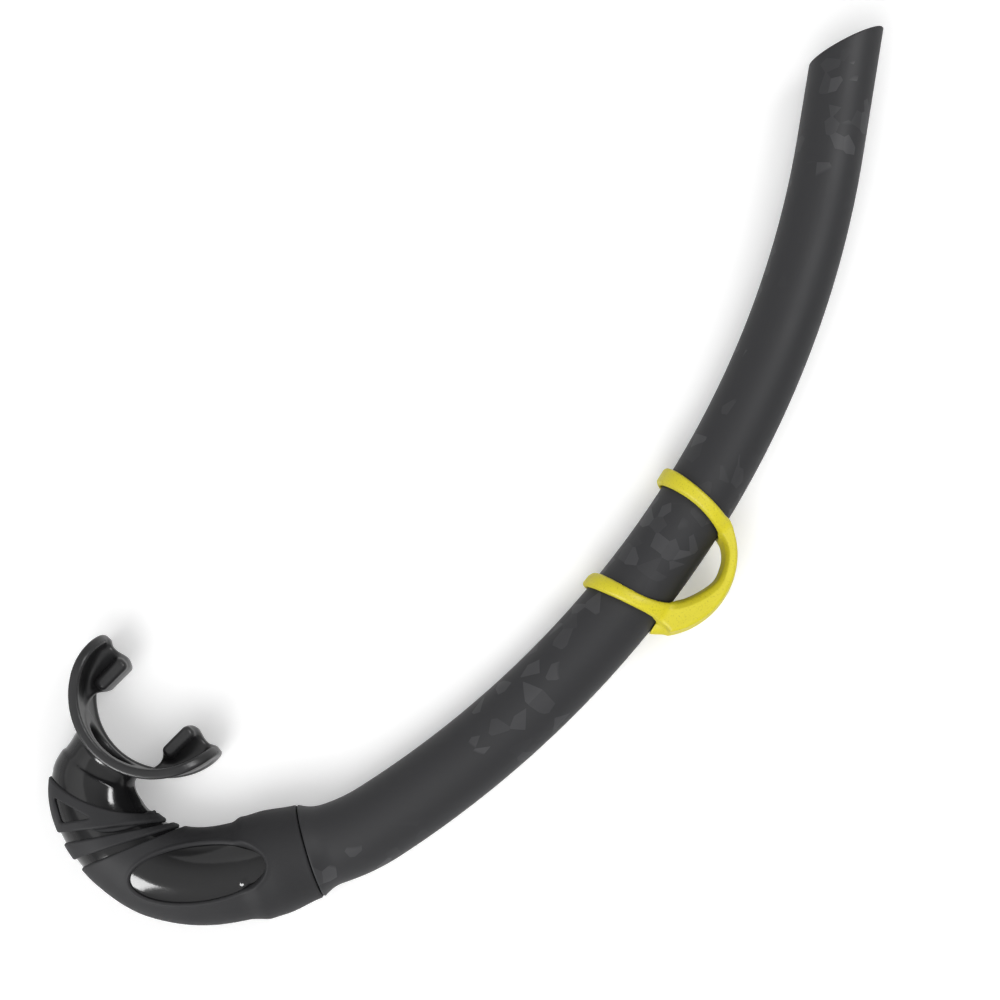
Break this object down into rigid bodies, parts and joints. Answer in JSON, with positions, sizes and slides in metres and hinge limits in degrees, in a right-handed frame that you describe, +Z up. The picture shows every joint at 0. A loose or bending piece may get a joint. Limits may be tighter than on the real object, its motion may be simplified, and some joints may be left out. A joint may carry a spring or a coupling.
{
  "type": "snorkel tube",
  "caption": "J-shaped snorkel: curved tapered tube with a slanted open top, push-on swivelling mouthpiece with overmoulded covers, and a sliding strap keeper.",
  "frame": {"origin": "middle of the box round the part, on the surface that the snorkel lies on", "axes": "+X along the tube from the mouthpiece to the open top, +Y towards the hollow of the J, +Z up, across the plane of the J"},
  "size_m": [0.4166, 0.1803, 0.0371],
  "materials": {
    "tube": "matte charcoal grey",
    "gloss_silicone": "glossy black silicone",
    "matte_cover": "matte black overmould",
    "keeper": "satin yellow"
  },
  "bodies": {
    "tube": {"tube": "tube"},
    "mouthpiece": {"mouthpiece": "gloss_silicone", "elbow_sleeve": "matte_cover", "narrow_band": "matte_cover", "wedge_band": "matte_cover"},
    "keeper": {"keeper": "keeper"}
  },
  "joints": [
    {"name": "mouthpiece_swivel", "type": "hinge", "parent": "tube", "child": "mouthpiece", "pos_m": [-0.15709, -0.01456, 0.01855], "axis": [-0.766, 0.6428, 0], "range_deg": [-90, 90]},
    {"name": "keeper_slide", "type": "hinge", "parent": "tube", "child": "keeper", "pos_m": [0.01912, 0.30219, 0.01855], "axis": [0, 0, 1], "range_deg": [-5, 10]}
  ]
}
